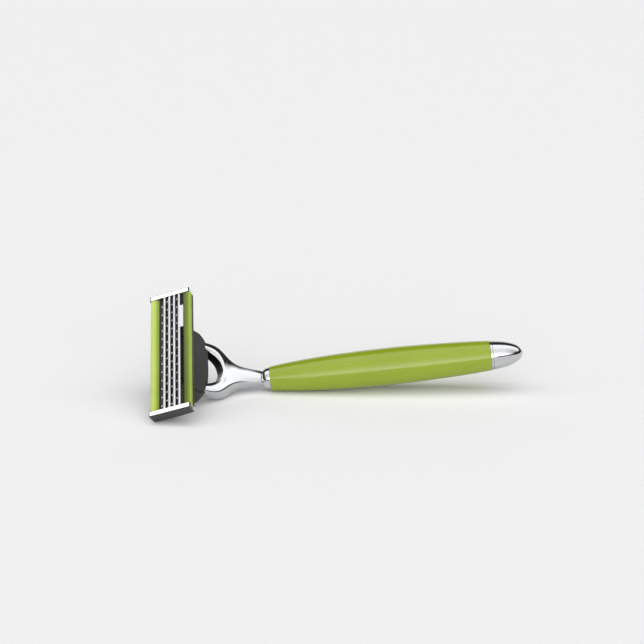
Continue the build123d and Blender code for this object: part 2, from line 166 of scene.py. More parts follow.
# ---- mesh helpers ---------------------------------------------------------------------------------
def cubic_through(points, count):
    """Evenly spaced points on the smooth curve through the given ones: a natural cubic spline."""
    given = np.array(points, float)
    steps = np.linalg.norm(np.diff(given, axis=0), axis=1)
    knots = np.concatenate([[0.0], np.cumsum(steps)])
    size = len(given)
    system = np.eye(size)
    right = np.zeros_like(given)
    for i in range(1, size - 1):
        system[i, i - 1:i + 2] = steps[i - 1], 2 * (steps[i - 1] + steps[i]), steps[i]
        right[i] = 6 * ((given[i + 1] - given[i]) / steps[i] - (given[i] - given[i - 1]) / steps[i - 1])
    bend = np.linalg.solve(system, right)
    at = np.linspace(0, knots[-1], count)
    span = np.clip(np.searchsorted(knots, at, side="right") - 1, 0, size - 2)
    before = (at - knots[span])[:, None]
    after = (knots[span + 1] - at)[:, None]
    width = steps[span][:, None]
    low, high = bend[span], bend[span + 1]
    curve = (low * after ** 3 + high * before ** 3) / (6 * width)
    curve += (given[span] / width - low * width / 6) * after
    curve += (given[span + 1] / width - high * width / 6) * before
    return curve


def piece(name, verts, faces, place, materials, face_materials=None, crease_angle=40):
    """A mesh object whose vertices are put in place, shaded smooth except across sharp edges."""
    mesh = bpy.data.meshes.new(name)
    mesh.from_pydata([place @ Vector(v) for v in verts], [], faces)
    for material in materials:
        mesh.materials.append(material)
    if face_materials is not None:
        mesh.polygons.foreach_set("material_index", face_materials)
    return finish_mesh(name, mesh, crease_angle)


def finish_mesh(name, mesh, crease_angle):
    work = bmesh.new()
    work.from_mesh(mesh)
    bmesh.ops.remove_doubles(work, verts=work.verts, dist=1e-7)
    bmesh.ops.recalc_face_normals(work, faces=work.faces)
    work.to_mesh(mesh)
    work.free()
    mesh.polygons.foreach_set("use_smooth", [True] * len(mesh.polygons))
    mesh.set_sharp_from_angle(angle=math.radians(crease_angle))
    made = bpy.data.objects.new(name, mesh)
    bpy.context.scene.collection.objects.link(made)
    return made


def soften(made, width, segments=3, angle=35):
    """Rounds the sharp edges of a moulded or pressed piece."""
    bevel = made.modifiers.new("rounded edges", "BEVEL")
    bevel.width = width * MM
    bevel.segments = segments
    bevel.limit_method = "ANGLE"
    bevel.angle_limit = math.radians(angle)
    bevel.harden_normals = True
    bevel.use_clamp_overlap = True


def from_cad(node, name, material, crease_angle=35):
    """A merged copy of a CAD node's mesh, ready for rounding."""
    mesh = frame["nodes"][node].data.copy()
    mesh.name = name
    work = bmesh.new()
    work.from_mesh(mesh)
    bmesh.ops.remove_doubles(work, verts=work.verts, dist=2e-6)
    bmesh.ops.dissolve_limit(work, angle_limit=math.radians(0.6), verts=work.verts, edges=work.edges)
    work.to_mesh(mesh)
    work.free()
    mesh.materials.clear()
    mesh.materials.append(material)
    mesh.polygons.foreach_set("use_smooth", [True] * len(mesh.polygons))
    mesh.set_sharp_from_angle(angle=math.radians(crease_angle))
    made = bpy.data.objects.new(name, mesh)
    bpy.context.scene.collection.objects.link(made)
    return made


def settle(made, body, slot, *nodes):
    """The piece rides its body and stands for its CAD nodes; the slot argument is not used."""
    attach(made, body)
    if nodes:
        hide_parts(*nodes)
    return made


def rounded(corner, before, after, radius, steps=6):
    """Points of a small arc that rounds an outline's corner."""
    corner, before, after = (np.array(p, float) for p in (corner, before, after))
    start = corner + (before - corner) / np.linalg.norm(before - corner) * radius
    end = corner + (after - corner) / np.linalg.norm(after - corner) * radius
    spots = []
    for i in range(steps + 1):
        t = i / steps
        spots.append(tuple((1 - t) ** 2 * start + 2 * t * (1 - t) * corner + t ** 2 * end))
    return spots


def bar(name, section, y0, y1, place, material, round_end=0.25, rings=4):
    """A closed section in X and Z, run along Y, with its two ends slightly rounded over."""
    section = np.array(section, float)
    middle = section.mean(axis=0)
    reach = np.abs(section - middle).max()
    rows = []
    for i in range(rings + 1):
        a = math.pi / 2 * i / rings
        grow = 1 - round_end * (1 - math.cos(a - math.pi / 2)) / reach
        rows.append((y0 + round_end * (1 - math.sin(a)), grow))
    rows += [(y0 + y1 - y, grow) for y, grow in reversed(rows)]
    rows.sort(key=lambda row: row[0])
    verts = []
    for y, grow in rows:
        for x, z in middle + (section - middle) * grow:
            verts.append((x, y, z))
    size = len(section)
    faces = [tuple(range(size)), tuple(range((len(rows) - 1) * size, len(rows) * size))]
    for row in range(len(rows) - 1):
        for i in range(size):
            j = (i + 1) % size
            faces.append((row * size + i, row * size + j, (row + 1) * size + j, (row + 1) * size + i))
    return piece(name, verts, faces, place, [material])


# ---- materials ------------------------------------------------------------------------------------
def linear(code):
    """An sRGB hex colour as linear light, with full alpha."""
    channels = [int(code[i:i + 2], 16) / 255 for i in (0, 2, 4)]
    return [c / 12.92 if c <= 0.04045 else ((c + 0.055) / 1.055) ** 2.4 for c in channels] + [1.0]


def add(tree, kind, inputs=(), **settings):
    """A node with its settings; each input is given a value or linked from a socket."""
    node = tree.nodes.new(kind)
    for key, value in settings.items():
        setattr(node, key, value)
    for key, value in dict(inputs).items():
        if isinstance(value, bpy.types.NodeSocket):
            tree.links.new(value, node.inputs[key])
        else:
            node.inputs[key].default_value = value
    return node


def start_material(name, inputs):
    material = bpy.data.materials.new(name)
    material.use_nodes = True
    tree = material.node_tree
    tree.nodes.clear()
    shader = add(tree, "ShaderNodeBsdfPrincipled", inputs)
    add(tree, "ShaderNodeOutputMaterial", {"Surface": shader.outputs["BSDF"]})
    place = add(tree, "ShaderNodeTexCoord").outputs["Object"]
    return material, tree, shader, place


def cells_per_metre(size_mm):
    return 1.0 / (size_mm * MM)


def moulded(name, light, dark, roughness, grain_mm, grain_depth_mm, extra=()):
    """Plastic from a spark-eroded mould: slight colour drift, and a fine even grain that softens gloss."""
    material, tree, shader, place = start_material(name, dict(extra))
    drift = add(tree, "ShaderNodeTexNoise", {"Vector": place, "Scale": cells_per_metre(9), "Detail": 2.0})
    ramp = add(tree, "ShaderNodeMapRange", {"Value": drift.outputs["Fac"], "From Min": 0.3, "From Max": 0.7})
    colour = add(tree, "ShaderNodeMix", {"Factor": ramp.outputs["Result"], "A": linear(dark),
                 "B": linear(light)}, data_type="RGBA")
    grain = add(tree, "ShaderNodeTexNoise", {"Vector": place, "Scale": cells_per_metre(grain_mm),
                "Detail": 3.0, "Roughness": 0.6})
    gloss = add(tree, "ShaderNodeMapRange", {"Value": grain.outputs["Fac"], "To Min": roughness - 0.05,
                "To Max": roughness + 0.07})
    bump = add(tree, "ShaderNodeBump", {"Height": grain.outputs["Fac"], "Strength": 0.6,
               "Distance": grain_depth_mm * MM})
    tree.links.new(colour.outputs["Result"], shader.inputs["Base Color"])
    tree.links.new(gloss.outputs["Result"], shader.inputs["Roughness"])
    tree.links.new(bump.outputs["Normal"], shader.inputs["Normal"])
    return material


def paint_light_across(material, start_mm, end_mm, tones):
    """A painted gradient of shade and highlight: tones the base colour across the cartridge, from start to
    end along W.
    """
    tree = material.node_tree
    shader = next(node for node in tree.nodes if node.type == "BSDF_PRINCIPLED")
    plain = shader.inputs["Base Color"].links[0].from_socket
    place = add(tree, "ShaderNodeTexCoord").outputs["Object"]
    across = add(tree, "ShaderNodeVectorMath", {0: place, 1: tuple(W)}, operation="DOT_PRODUCT")
    start, end = (FACE_ORIGIN.dot(W) + at * MM for at in (start_mm, end_mm))
    share = add(tree, "ShaderNodeMapRange", {"Value": across.outputs["Value"], "From Min": start,
                "From Max": end})
    ramp = add(tree, "ShaderNodeValToRGB", {"Fac": share.outputs["Result"]})
    stops = ramp.color_ramp.elements
    for index, (at, code) in enumerate(tones):
        stop = stops[index] if index < 2 else stops.new(at)
        stop.position = at
        stop.color = linear(code)
    toned = add(tree, "ShaderNodeMix", {"Factor": 1.0, "A": plain, "B": ramp.outputs["Color"]},
                data_type="RGBA", blend_type="MULTIPLY")
    tree.links.new(toned.outputs["Result"], shader.inputs["Base Color"])


def plated(name, colour, brighter, roughness, scratch_mm):
    """Bright chromium plate: nearly a mirror, with hair-fine wiping scratches that only blur it a little."""
    material, tree, shader, place = start_material(name, {"Metallic": 1.0})
    haze = add(tree, "ShaderNodeTexNoise", {"Vector": place, "Scale": cells_per_metre(4), "Detail": 3.0})
    tint = add(tree, "ShaderNodeMix", {"Factor": haze.outputs["Fac"], "A": linear(colour),
               "B": linear(brighter)}, data_type="RGBA")
    stretch = add(tree, "ShaderNodeMapping", {"Vector": place, "Scale": (0.12, 1.0, 1.0)})
    scratch = add(tree, "ShaderNodeTexNoise", {"Vector": stretch.outputs["Vector"],
                  "Scale": cells_per_metre(scratch_mm), "Detail": 4.0})
    gloss = add(tree, "ShaderNodeMapRange", {"Value": scratch.outputs["Fac"], "From Min": 0.35,
                "From Max": 0.7, "To Min": roughness, "To Max": roughness + 0.05})
    bump = add(tree, "ShaderNodeBump", {"Height": scratch.outputs["Fac"], "Strength": 0.05,
               "Distance": 0.01 * MM})
    tree.links.new(tint.outputs["Result"], shader.inputs["Base Color"])
    tree.links.new(gloss.outputs["Result"], shader.inputs["Roughness"])
    tree.links.new(bump.outputs["Normal"], shader.inputs["Normal"])
    return material


def ground(name, light, dark, roughness, line_mm, turn, depth_mm=0.004):
    """Steel with grinding or rolling lines: streaks along one way, rougher and duller between them."""
    material, tree, shader, place = start_material(name, {"Metallic": 1.0})
    lay = add(tree, "ShaderNodeMapping", {"Vector": place, "Rotation": turn, "Scale": (0.03, 1.0, 1.0)})
    lines = add(tree, "ShaderNodeTexNoise", {"Vector": lay.outputs["Vector"],
                "Scale": cells_per_metre(line_mm), "Detail": 3.0, "Roughness": 0.7})
    spread = add(tree, "ShaderNodeMapRange", {"Value": lines.outputs["Fac"], "From Min": 0.3,
                 "From Max": 0.7})
    colour = add(tree, "ShaderNodeMix", {"Factor": spread.outputs["Result"], "A": linear(dark),
                 "B": linear(light)}, data_type="RGBA")
    gloss = add(tree, "ShaderNodeMapRange", {"Value": lines.outputs["Fac"], "To Min": roughness + 0.08,
                "To Max": roughness - 0.06})
    bump = add(tree, "ShaderNodeBump", {"Height": lines.outputs["Fac"], "Strength": 0.4,
               "Distance": depth_mm * MM})
    tree.links.new(colour.outputs["Result"], shader.inputs["Base Color"])
    tree.links.new(gloss.outputs["Result"], shader.inputs["Roughness"])
    tree.links.new(bump.outputs["Normal"], shader.inputs["Normal"])
    return material


def lacquered(name, light, dark):
    """Clear lacquer over coloured ABS: a deep even colour under a smooth wet-looking coat."""
    fixed = {"Coat Weight": 1.0, "Coat Roughness": 0.13, "Coat IOR": 1.5, "Specular IOR Level": 0.06}
    material, tree, shader, place = start_material(name, fixed)
    flow = add(tree, "ShaderNodeTexNoise", {"Vector": place, "Scale": cells_per_metre(14), "Detail": 1.0})
    colour = add(tree, "ShaderNodeMix", {"Factor": flow.outputs["Fac"], "A": linear(dark),
                 "B": linear(light)}, data_type="RGBA")
    peel = add(tree, "ShaderNodeTexNoise", {"Vector": place, "Scale": cells_per_metre(1.6), "Detail": 2.0})
    gloss = add(tree, "ShaderNodeMapRange", {"Value": peel.outputs["Fac"], "To Min": 0.26, "To Max": 0.36})
    bump = add(tree, "ShaderNodeBump", {"Height": peel.outputs["Fac"], "Strength": 0.06,
               "Distance": 0.02 * MM})
    tree.links.new(colour.outputs["Result"], shader.inputs["Base Color"])
    tree.links.new(gloss.outputs["Result"], shader.inputs["Roughness"])
    tree.links.new(bump.outputs["Normal"], shader.inputs["Coat Normal"])
    return material


# Water-soluble gel in a porous carrier: a soft waxy yellow-green, with painted shade darkening it towards the
# blades.
gel = moulded("extruded lubricating gel", "BCCC69", "B1C25B", 0.42, 0.5, 0.02, {
    "Subsurface Weight": 0.12, "Subsurface Radius": (0.6, 0.8, 0.2), "Subsurface Scale": 0.6 * MM,
    "Specular IOR Level": 0.4})
paint_light_across(gel, -6.54, -3.66, [
    (0.0, "F0EEF4"), (1.0, "B0B786"), (0.25, "FFFFFF"), (0.5, "FAFDF0"), (0.68, "E8F0DE"), (0.82, "CBD39A"),
    (0.9, "B8BF8C"),
])
# Thermoplastic rubber: a deeper, duller green, with painted shade deepening towards the blades and a painted
# highlight stripe along its outer lip.
guard_rubber = moulded("moulded guard rubber", "A9C14A", "9FB744", 0.38, 0.35, 0.015, {
    "Specular IOR Level": 0.5})
paint_light_across(guard_rubber, 4.3, 6.75, [
    (0.0, "6C7054"), (1.0, "FFFFF0"), (0.35, "868B5E"), (0.6, "9BA06B"), (0.78, "B2B884"), (0.85, "C2C88E"),
    (0.89, "FFFFE8"),
])
# ABS from a spark-eroded mould: dark and even, without a clear reflection.
frame_abs = moulded("moulded black ABS", "3A3A3C", "303032", 0.42, 0.3, 0.02, {})
connector_abs = moulded("moulded grey ABS", "414142", "3A3A3B", 0.55, 0.3, 0.02, {
    "Specular IOR Level": 0.35})
# A dark colour painted on the folded edge of the sheet, a painted dark reflection: a thin dark outline round
# the bright face.
clip_painted_dark_edge = ground("clip edge painted dark", "2E2E31", "1C1C1F", 0.4, 0.1, (0, 0, 0))
# A near-black colour painted on the wall of the fork's eye, a painted dark reflection: it reads as one dark
# crescent.
eye_painted_dark_reflection = ground("painted dark reflection in the eye", "1E1E20", "111113", 0.22, 0.3, (0, 0, 0))
# Acetal, natural white: milky, slightly waxy.
acetal = moulded("moulded white acetal", "E4E4E0", "D8D8D2", 0.36, 0.4, 0.01, {
    "Subsurface Weight": 0.1, "Subsurface Radius": (0.5, 0.5, 0.5), "Subsurface Scale": 0.5 * MM})
# Pressed stainless sheet, polished after pressing: bright, with faint wiping lines.
clip_sheet = plated("polished stainless clip sheet", "EDEDEF", "F6F6F7", 0.12, 0.25)
# Zinc casting under bright chromium: a clean mirror.
cast_chrome = plated("chrome-plated zinc casting", "C6C7CA", "CDCED0", 0.045, 0.5)
# Chromium on moulded ABS: the same mirror, a touch softer.
plated_abs = plated("chrome-plated ABS", "C6C7CA", "CDCED0", 0.06, 0.5)
# Martensitic razor steel, ground: grey streaks along the blade.
blade_body = ground("ground razor steel", "6E6F72", "58595C", 0.34, 0.12, (0, 0, 0))
# The honed bevel: a near-white, only partly metallic colour, a painted highlight that stays one bright stripe
# in any light.
bevel_painted_highlight = moulded("honed blade edge", "FBFBFC", "F0F1F3", 0.3, 0.1, 0.002, {"Metallic": 0.35})
# Laser weld nuggets: small near-white domes, partly metallic like the bevel, a painted highlight.
weld_painted_highlight = moulded("laser weld nugget", "FBFBFD", "E9EAEE", 0.45, 0.1, 0.004, {"Metallic": 0.35})
# Stamped stainless supports: darker, with a rolled grain.
carrier_steel = ground("stamped stainless support", "4A4A4D", "37373A", 0.4, 0.15, (0, 0, 0))
# Turned and drawn steel of the pins, springs, washer and nut.
drawn_steel = ground("drawn steel", "B8B9BC", "9C9DA1", 0.28, 0.1, (0, 0, 0))
green_lacquer = lacquered("lacquered green ABS", "8DA120", "85991B")

# ---- camera ---------------------------------------------------------------------------------------
EYE = Vector((3.12, -419.38, 157.46)) * MM
CAMERA_AXES = ((0.9999, 0.0140, -0.0099), (0.0052, 0.2998, 0.9540), (0.0163, -0.9539, 0.2997))
lens = bpy.data.cameras.new("camera")
lens.lens = 83.23
lens.sensor_width = 36.0
lens.clip_start = 0.01
lens.clip_end = 100.0
camera = bpy.data.objects.new("camera", lens)
bpy.context.scene.collection.objects.link(camera)
camera.matrix_world = Matrix([[axis[row] for axis in CAMERA_AXES] + [EYE[row]] for row in range(3)]
                             + [[0, 0, 0, 1]])
bpy.context.scene.camera = camera
bpy.context.scene.view_settings.view_transform = "Standard"

# ---- floor and light ------------------------------------------------------------------------------
FLOOR_HALF = 12.0
floor_mesh = bpy.data.meshes.new("floor")
floor_mesh.from_pydata([(x * FLOOR_HALF, y * FLOOR_HALF, 0) for x, y in ((-1, -1), (1, -1), (1, 1), (-1, 1))],
                       [], [(0, 1, 2, 3)])
floor = bpy.data.objects.new("floor", floor_mesh)
bpy.context.scene.collection.objects.link(floor)
table, tree, shader, place = start_material("matt white laminate", {"Roughness": 0.85,
                                            "Specular IOR Level": 0.15})
grain = add(tree, "ShaderNodeTexNoise", {"Vector": place, "Scale": cells_per_metre(2), "Detail": 2.0})
colour = add(tree, "ShaderNodeMix", {"Factor": grain.outputs["Fac"], "A": linear("F3F3F3"),
             "B": linear("F4F4F4")}, data_type="RGBA")
tree.links.new(colour.outputs["Result"], shader.inputs["Base Color"])
floor_mesh.materials.append(table)

# The studio is one tube of light round the long axis of the razor. Each stop is an angle from the front
# horizon over the top to the back horizon, and how bright the wall is there.
PEAK = 3.2
WALL = [
    (0, 1.0), (3, 1.35), (12, 1.15), (24, 0.72), (40, 0.40), (60, 0.38), (84, 0.48), (106, 0.52),
    (113, 0.012), (148, 0.012), (154, 0.26), (180, 0.30),
]
world = bpy.data.worlds.new("studio")
bpy.context.scene.world = world
world.use_nodes = True
tree = world.node_tree
tree.nodes.clear()
way = add(tree, "ShaderNodeTexCoord").outputs["Generated"]
parts = add(tree, "ShaderNodeSeparateXYZ", {"Vector": way})
front = add(tree, "ShaderNodeMath", {0: parts.outputs["Y"], 1: -1.0}, operation="MULTIPLY")
angle = add(tree, "ShaderNodeMath", {0: parts.outputs["Z"], 1: front.outputs[0]}, operation="ARCTAN2")
share = add(tree, "ShaderNodeMath", {0: angle.outputs[0], 1: math.pi}, operation="DIVIDE")
wall = add(tree, "ShaderNodeValToRGB", {"Fac": share.outputs[0]})
stops = wall.color_ramp.elements
for index, (degrees, level) in enumerate(WALL):
    stop = stops[index] if index < 2 else stops.new(degrees / 180)
    stop.position = degrees / 180
    stop.color = (level, level, level, 1)


def patch(socket, low, high, other=None):
    """One where the direction's part lies past high, none before low, times another patch."""
    ramp = add(tree, "ShaderNodeMapRange", {"Value": socket, "From Min": low, "From Max": high})
    if other is None:
        return ramp.outputs["Result"]
    return add(tree, "ShaderNodeMath", {0: ramp.outputs["Result"], 1: other}, operation="MULTIPLY").outputs[0]


def shade(colour, where, level):
    """The wall, taken to one grey level inside a patch."""
    mixed = add(tree, "ShaderNodeMix", {"Factor": where, "A": colour, "B": (level, level, level, 1)},
                data_type="RGBA")
    return mixed.outputs["Result"]


right, height, forward = parts.outputs["X"], parts.outputs["Z"], front.outputs[0]
side = add(tree, "ShaderNodeMath", {0: right}, operation="ABSOLUTE").outputs[0]
# the bright front wall spans the middle only
glow_wall = shade(wall.outputs["Color"], patch(side, 0.32, 0.7, patch(forward, 0.1, 0.45)), 0.24)
# a black flag stands low at the tail end, and a low one on each side of the bright wall
glow_wall = shade(glow_wall, patch(right, 0.66, 0.78, patch(height, 0.5, 0.34)), 0.01)
glow_wall = shade(glow_wall, patch(side, 0.2, 0.3, patch(height, 0.2, 0.12, patch(forward, 0.2, 0.3))), 0.01)
glow = add(tree, "ShaderNodeBackground", {"Color": glow_wall, "Strength": PEAK})
backdrop = add(tree, "ShaderNodeBackground", {"Color": linear("F4F4F4"), "Strength": 1.0})
seen = add(tree, "ShaderNodeLightPath")
pick = add(tree, "ShaderNodeMixShader", {0: seen.outputs["Is Camera Ray"], 1: glow.outputs[0],
           2: backdrop.outputs[0]})
add(tree, "ShaderNodeOutputWorld", {"Surface": pick.outputs[0]})

# ---- cartridge ------------------------------------------------------------------------------------
crown = cubic_through([(-6.54, -0.5), (-6.15, -0.08), (-5.45, 0.12), (-4.7, 0.02), (-3.66, -0.42)], 28)
strip_section = [tuple(p) for p in crown] + [(-3.36, -0.7), (-3.36, -1.27), (-6.54, -1.27)]
strip = bar("lubricating_strip_gel", strip_section, -STRIP_END, STRIP_END, CART, gel)
settle(strip, "cartridge", "gel_strip", "lubricating_strip")

guard_line = cubic_through([(4.22, -0.6), (4.4, -0.3), (4.75, -0.17), (5.4, -0.1), (6.0, -0.04),
                            (6.36, -0.09), (6.6, -0.29), (6.73, -0.6), (6.81, -1.3), (6.68, -2.19)], 56)
guard_section = [(4.22, -1.36)] + [tuple(p) for p in guard_line] + [(6.21, -2.19), (6.21, -1.36)]
guard = bar("guard_bar_rubber", guard_section, -STRIP_END, STRIP_END, CART, guard_rubber)
settle(guard, "cartridge", "green_rubber", "guard_bar")

CLIP_PATH = [
    (-4.9, -3.42), (-6.05, -3.36), (-6.45, -2.95), (-6.55, -2.6), (-6.55, 0.15), (6.65, 0.15), (6.65, -2.95),
    (6.25, -3.3), (4.9, -3.37),
]


def rounded_path(points, radius):
    path = [points[0]]
    for before, corner, after in zip(points, points[1:], points[2:]):
        legs = min(math.dist(before, corner), math.dist(corner, after))
        path += rounded(corner, before, after, min(radius, legs * 0.45))
    return path + [points[-1]]


def inset_path(path, inset):
    """The path moved towards its inner side."""
    moved = []
    for i, (x, z) in enumerate(path):
        before, after = path[max(i - 1, 0)], path[min(i + 1, len(path) - 1)]
        run = math.dist(before, after)
        moved.append((x + (after[1] - before[1]) / run * inset, z - (after[0] - before[0]) / run * inset))
    return moved


def pressed_clip(name, side):
    """A band of sheet folded round the end of the cartridge, its outer edge drawn over in a small radius."""
    path = rounded_path(CLIP_PATH, 0.45)
    rows = [(CLIP_Y, CLIP_T), (CLIP_Y, 0.04), (CLIP_Y + 0.04, 0.0)]
    rows += [(HALF_LEN - CLIP_GAP - CLIP_FOLD + CLIP_FOLD * math.sin(a), CLIP_FOLD * (1 - math.cos(a)))
             for a in np.linspace(0, math.pi / 2, 8)]
    rows += [(HALF_LEN - CLIP_GAP, CLIP_T)]
    size = len(path)
    verts = [(x, side * y, z) for y, inset in rows for x, z in inset_path(path, inset)]
    faces = []
    for row in range(len(rows)):
        low, high = row * size, (row + 1) % len(rows) * size
        for i in range(size - 1):
            faces.append((low + i, low + i + 1, high + i + 1, high + i))
    for i in (0, size - 1):
        faces.append(tuple(row * size + i for row in range(len(rows))))
    made = piece(name, verts, faces, CART, [clip_sheet, clip_painted_dark_edge])
    # Faces that do not look straight along a cartridge axis, the fold and the rounded bends, take the painted
    # dark reflection.
    for face in made.data.polygons:
        way = CART.to_3x3().inverted() @ face.normal
        face.material_index = max(abs(part) for part in way.normalized()) < 0.985
    return made


for end, side in (("upper", 1), ("lower", -1)):
    clip = pressed_clip("end_clip_%s_sheet" % end, side)
    settle(clip, "cartridge", "chrome_sheet", "end_clip_%s" % end)

shell = from_cad("cartridge_frame", "cartridge_frame_shell", frame_abs)
soften(shell, 0.07, 2)
settle(shell, "cartridge", "black_plastic", "cartridge_frame")


def blade_point(k, along_s, height):
    """A point on a tilted blade: along_s forward of its cutting edge, height off its middle plane."""
    a = math.radians(BLADE_TILT)
    edge = FIRST_EDGE_W + BLADE_PITCH * k
    return (edge + along_s * math.cos(a) - height * math.sin(a),
            EDGE_N + along_s * math.sin(a) + height * math.cos(a))


def razor_blade(k):
    """A ground strip with the two honed facets that meet in its cutting edge."""
    t = BLADE_THICK / 2
    section = [
        blade_point(k, 0, 0), blade_point(k, -BEVEL_LEN, t), blade_point(k, -BLADE_WIDE, t),
        blade_point(k, -BLADE_WIDE, -t), blade_point(k, -BEVEL_LEN, -t),
    ]
    size = len(section)
    steps = BLADE_STEPS
    verts = []
    for step in range(steps + 1):
        y = -BLADE_HALF + 2 * BLADE_HALF * step / steps
        verts += [(x, y, z) for x, z in section]
    faces = [tuple(range(size)), tuple(range(steps * size, (steps + 1) * size))]
    kinds = [0, 0]
    for step in range(steps):
        for i in range(size):
            j = (i + 1) % size
            faces.append((step * size + i, step * size + j, (step + 1) * size + j, (step + 1) * size + i))
            # the two honed facets take the painted highlight
            kinds.append(1 if i in (0, size - 1) else 0)
    return piece("blade_%d_strip" % (k + 1), verts, faces, CART, [blade_body, bevel_painted_highlight], kinds, 3)


def weld_tree():
    """Geometry nodes: a row of flattened domes, one at every point of a line."""
    group = bpy.data.node_groups.new("weld row", "GeometryNodeTree")
    ports = [
        ("Count", "NodeSocketInt"), ("Start", "NodeSocketVector"), ("Step", "NodeSocketVector"),
        ("Facing", "NodeSocketVector"), ("Radius", "NodeSocketFloat"), ("Height", "NodeSocketFloat"),
    ]
    group.interface.new_socket("Geometry", in_out="OUTPUT", socket_type="NodeSocketGeometry")
    names = {}
    for port, kind in ports:
        names[port] = group.interface.new_socket(port, in_out="INPUT", socket_type=kind).identifier
    given = add(group, "NodeGroupInput").outputs
    line = add(group, "GeometryNodeMeshLine", {"Count": given["Count"], "Start Location": given["Start"],
               "Offset": given["Step"]})
    dome = add(group, "GeometryNodeMeshUVSphere", {"Segments": 14, "Rings": 8, "Radius": 1.0})
    size = add(group, "ShaderNodeCombineXYZ", {"X": given["Radius"], "Y": given["Radius"],
               "Z": given["Height"]})
    turn = add(group, "FunctionNodeAlignEulerToVector", {"Vector": given["Facing"]}, axis="Z")
    row = add(group, "GeometryNodeInstanceOnPoints", {"Points": line.outputs["Mesh"],
              "Instance": dome.outputs["Mesh"], "Rotation": turn.outputs["Rotation"],
              "Scale": size.outputs["Vector"]})
    real = add(group, "GeometryNodeRealizeInstances", {"Geometry": row.outputs["Instances"]})
    finish = add(group, "GeometryNodeSetMaterial", {"Geometry": real.outputs["Geometry"],
                 "Material": weld_painted_highlight})
    add(group, "NodeGroupOutput", {"Geometry": finish.outputs["Geometry"]})
    return group, names


def run_nodes(name, group, names, values):
    """The plain mesh that a geometry-nodes tree gives for these inputs."""
    seed = bpy.data.objects.new(name + "_seed", bpy.data.meshes.new(name + "_seed"))
    bpy.context.scene.collection.objects.link(seed)
    worker = seed.modifiers.new("nodes", "NODES")
    worker.node_group = group
    for port, value in values.items():
        worker[names[port]] = value
    bpy.context.view_layer.update()
    ready = seed.evaluated_get(bpy.context.evaluated_depsgraph_get())
    mesh = bpy.data.meshes.new_from_object(ready)
    seed.modifiers.remove(worker)
    bpy.data.objects.remove(seed)
    mesh.name = name
    return finish_mesh(name, mesh, 40)


welds, weld_ports = weld_tree()
for k in range(BLADES):
    blade_body_name = "blade_%d_body" % (k + 1)
    node = "blade_%d" % (k + 1)
    settle(razor_blade(k), blade_body_name, "blade_steel", node)
    x, z = blade_point(k, WELD_PLACE, BLADE_THICK / 2 + 0.002)
    first = -(WELDS - 1) / 2 * WELD_PITCH + (k % 2) * 0.5 * WELD_PITCH - 0.25 * WELD_PITCH
    tilt = math.radians(BLADE_TILT)
    facing = N * math.cos(tilt) - W * math.sin(tilt)
    row = run_nodes(node + "_welds", welds, weld_ports, {
        "Count": WELDS, "Start": tuple(CART @ Vector((x, first, z))), "Step": tuple(L * WELD_PITCH * MM),
        "Facing": tuple(facing), "Radius": WELD_R * MM, "Height": WELD_HEIGHT * MM})
    settle(row, blade_body_name, "blade_steel")

# ---- connector ------------------------------------------------------------------------------------
for node, name, width in (("connector_base", "connector_base_moulding", 0.22),
                          ("connector_cover", "connector_cover_moulding", 0.16)):
    part = from_cad(node, name, connector_abs)
    soften(part, width, 3)
    settle(part, "handle", "grey_plastic", node)
button = from_cad("release_button", "release_button_moulding", connector_abs)
soften(button, 0.1, 3)
settle(button, "button", "grey_plastic", "release_button")


# ---- chrome fork ----------------------------------------------------------------------------------
def height_line(points):
    """Height of the fork's top or bottom line at any distance along the handle."""
    curve = cubic_through(sorted(points), 200)
    return lambda x: float(np.interp(x, curve[:, 0], curve[:, 1]))


fork_top = height_line(FORK_TOP)
fork_bottom = height_line(FORK_BOTTOM)


def even_steps(line, count):
    """Points at even distances along a line of plan points."""
    line = np.array(line, float)
    gone = np.concatenate([[0.0], np.cumsum(np.linalg.norm(np.diff(line, axis=0), axis=1))])
    at = np.linspace(0, gone[-1], count)
    return np.stack([np.interp(at, gone, line[:, i]) for i in (0, 1)], axis=1)


def side_normals(line, flip):
    """Unit plan normals of a line, turned to the side that flip asks for."""
    run = np.gradient(line, axis=0)
    run /= np.linalg.norm(run, axis=1)[:, None]
    return np.stack([-run[:, 1], run[:, 0]], axis=1) * flip


